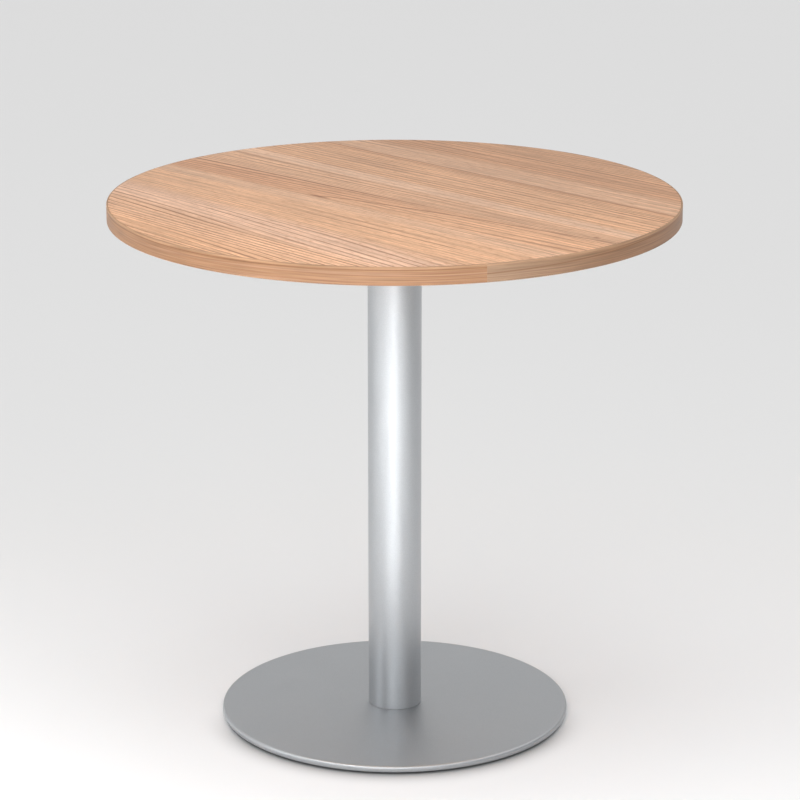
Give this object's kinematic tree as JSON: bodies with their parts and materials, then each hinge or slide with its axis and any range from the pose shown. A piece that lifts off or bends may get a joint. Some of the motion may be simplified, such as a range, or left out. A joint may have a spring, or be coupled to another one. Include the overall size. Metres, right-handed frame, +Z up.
{
  "type": "round conference table",
  "caption": "Round wood-decor tabletop on a silver tube column with a flat round steel base plate on screw-adjusted levelling glides.",
  "frame": {"origin": "on the floor, below the middle of the column, with the glides screwed right in", "axes": "+Z up along the column; -Y towards the viewer of the picture; +X to the viewer's right"},
  "size_m": [0.7999, 0.7999, 0.76],
  "materials": {
    "walnut_decor": "light walnut decor, satin melamine",
    "chipboard": "raw pressed chipboard",
    "edge_decor": "light walnut decor on plastic edging",
    "silver_powder_coat": "silver powder coat, semi-gloss",
    "bare_steel": "mill finish",
    "zinc_plated_steel": "bright zinc plating",
    "black_polyamide": "moulded, fine texture"
  },
  "bodies": {
    "table": {"tabletop_upper_facing": "walnut_decor", "tabletop_core": "chipboard", "tabletop_lower_facing": "walnut_decor", "edge_band": "edge_decor", "tabletop_screws": "zinc_plated_steel", "top_cross": "silver_powder_coat", "upper_flange_bolts": "zinc_plated_steel", "upper_end_disc": "bare_steel", "column_tube": "silver_powder_coat", "lower_end_disc": "bare_steel", "lower_flange_bolts": "zinc_plated_steel", "base_plate": "silver_powder_coat"},
    "glide_1_foot": {"glide_pad_1": "black_polyamide"},
    "glide_1_screw": {"glide_stud_1": "zinc_plated_steel"},
    "glide_2_foot": {"glide_pad_2": "black_polyamide"},
    "glide_2_screw": {"glide_stud_2": "zinc_plated_steel"},
    "glide_3_foot": {"glide_pad_3": "black_polyamide"},
    "glide_3_screw": {"glide_stud_3": "zinc_plated_steel"},
    "glide_4_foot": {"glide_pad_4": "black_polyamide"},
    "glide_4_screw": {"glide_stud_4": "zinc_plated_steel"}
  },
  "joints": [
    {"name": "glide_1_travel", "type": "slide", "parent": "table", "child": "glide_1_foot", "axis": [0, 0, -1], "range_m": [0, 0.003]},
    {"name": "glide_1_turn", "type": "hinge", "parent": "glide_1_foot", "child": "glide_1_screw", "pos_m": [0.15203, 0.15203, 0.003], "axis": [0, 0, -1], "range_deg": [0, 864]},
    {"name": "glide_2_travel", "type": "slide", "parent": "table", "child": "glide_2_foot", "axis": [0, 0, -1], "range_m": [0, 0.003]},
    {"name": "glide_2_turn", "type": "hinge", "parent": "glide_2_foot", "child": "glide_2_screw", "pos_m": [-0.15203, 0.15203, 0.003], "axis": [0, 0, -1], "range_deg": [0, 864]},
    {"name": "glide_3_travel", "type": "slide", "parent": "table", "child": "glide_3_foot", "axis": [0, 0, -1], "range_m": [0, 0.003]},
    {"name": "glide_3_turn", "type": "hinge", "parent": "glide_3_foot", "child": "glide_3_screw", "pos_m": [-0.15203, -0.15203, 0.003], "axis": [0, 0, -1], "range_deg": [0, 864]},
    {"name": "glide_4_travel", "type": "slide", "parent": "table", "child": "glide_4_foot", "axis": [0, 0, -1], "range_m": [0, 0.003]},
    {"name": "glide_4_turn", "type": "hinge", "parent": "glide_4_foot", "child": "glide_4_screw", "pos_m": [0.15203, -0.15203, 0.003], "axis": [0, 0, -1], "range_deg": [0, 864]}
  ],
  "couplings": [
    {"joint": "glide_1_travel", "follows": "glide_1_turn", "m_per_rad": 0.00019894},
    {"joint": "glide_2_travel", "follows": "glide_2_turn", "m_per_rad": 0.00019894},
    {"joint": "glide_3_travel", "follows": "glide_3_turn", "m_per_rad": 0.00019894},
    {"joint": "glide_4_travel", "follows": "glide_4_turn", "m_per_rad": 0.00019894}
  ]
}
